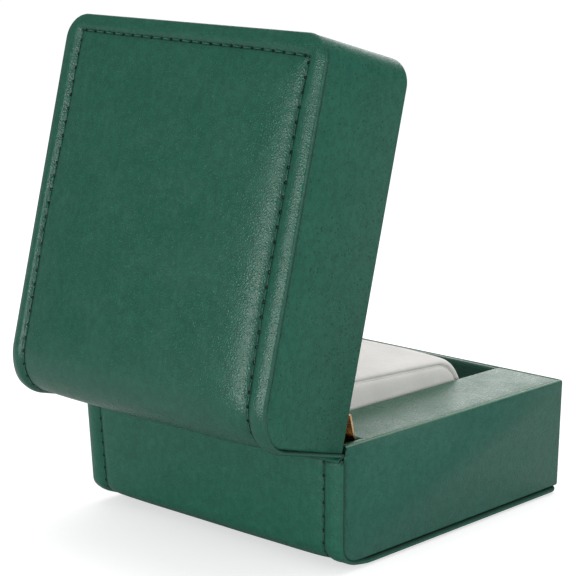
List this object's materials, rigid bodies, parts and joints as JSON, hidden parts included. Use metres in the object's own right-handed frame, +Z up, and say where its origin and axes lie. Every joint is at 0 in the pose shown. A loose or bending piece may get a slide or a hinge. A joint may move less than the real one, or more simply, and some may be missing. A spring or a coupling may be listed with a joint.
{
  "type": "single watch box",
  "caption": "Clamshell watch box in stitched green leathercloth over boards, its padded lid standing open on sprung hinges over a lined channel with a lift-out ivory cushion.",
  "frame": {"origin": "on the floor under the middle of the base, midway between its sides and between its front face and its rear face", "axes": "+Z up, +Y towards the rear, where the lid is hinged, -Y towards the user, X across the box"},
  "size_m": [0.11, 0.1644, 0.1708],
  "materials": {
    "wrap_leather": "satin",
    "cover_leather": "satin",
    "lining_leather": "matte",
    "ivory_leather": "matte",
    "foam": "matte",
    "card": "matte",
    "board": "matte",
    "plated_brass": "polished",
    "steel": "satin"
  },
  "bodies": {
    "base": {"base_corner_filler": "board", "base_cover": "cover_leather", "base_floor_board": "board", "base_front_board": "board", "base_rear_board": "board", "base_rear_rim": "cover_leather", "base_rim_left": "cover_leather", "base_rim_right": "cover_leather", "base_side_board_left": "board", "base_side_board_right": "board", "base_wrap": "wrap_leather", "base_wrap_stiffener": "card", "channel_lining": "lining_leather", "cross_wall": "board", "hinge_base_leaf_left": "plated_brass", "hinge_base_leaf_right": "plated_brass", "hinge_base_screws": "steel", "hinge_fold": "wrap_leather", "hinge_pin_left": "steel", "hinge_pin_right": "steel", "hinge_spring_blade_left": "plated_brass", "hinge_spring_blade_right": "plated_brass", "inner_wall_left": "board", "inner_wall_right": "board"},
    "lid": {"hinge_lid_leaf_left": "plated_brass", "hinge_lid_leaf_right": "plated_brass", "hinge_lid_screws": "steel", "lid_corner_filler": "board", "lid_corner_post_left": "board", "lid_corner_post_right": "board", "lid_cover": "cover_leather", "lid_front_board": "board", "lid_inner_pad": "ivory_leather", "lid_lining": "lining_leather", "lid_rear_board": "board", "lid_side_board_left": "board", "lid_side_board_right": "board", "lid_top_board": "board", "lid_wrap": "wrap_leather", "lid_wrap_foam": "foam"},
    "cushion": {"cushion_band": "ivory_leather", "cushion_core": "foam", "cushion_panel_left": "ivory_leather", "cushion_panel_right": "ivory_leather"}
  },
  "joints": [
    {"name": "lid_hinge", "type": "hinge", "parent": "base", "child": "lid", "pos_m": [0, 0.0608, 0.04045], "axis": [-1, 0, 0], "range_deg": [-76.7, 0], "deforming": ["hinge_fold"]},
    {"name": "cushion_lift", "type": "slide", "parent": "base", "child": "cushion", "axis": [0, 0, 1], "range_m": [0, 0.02]}
  ]
}
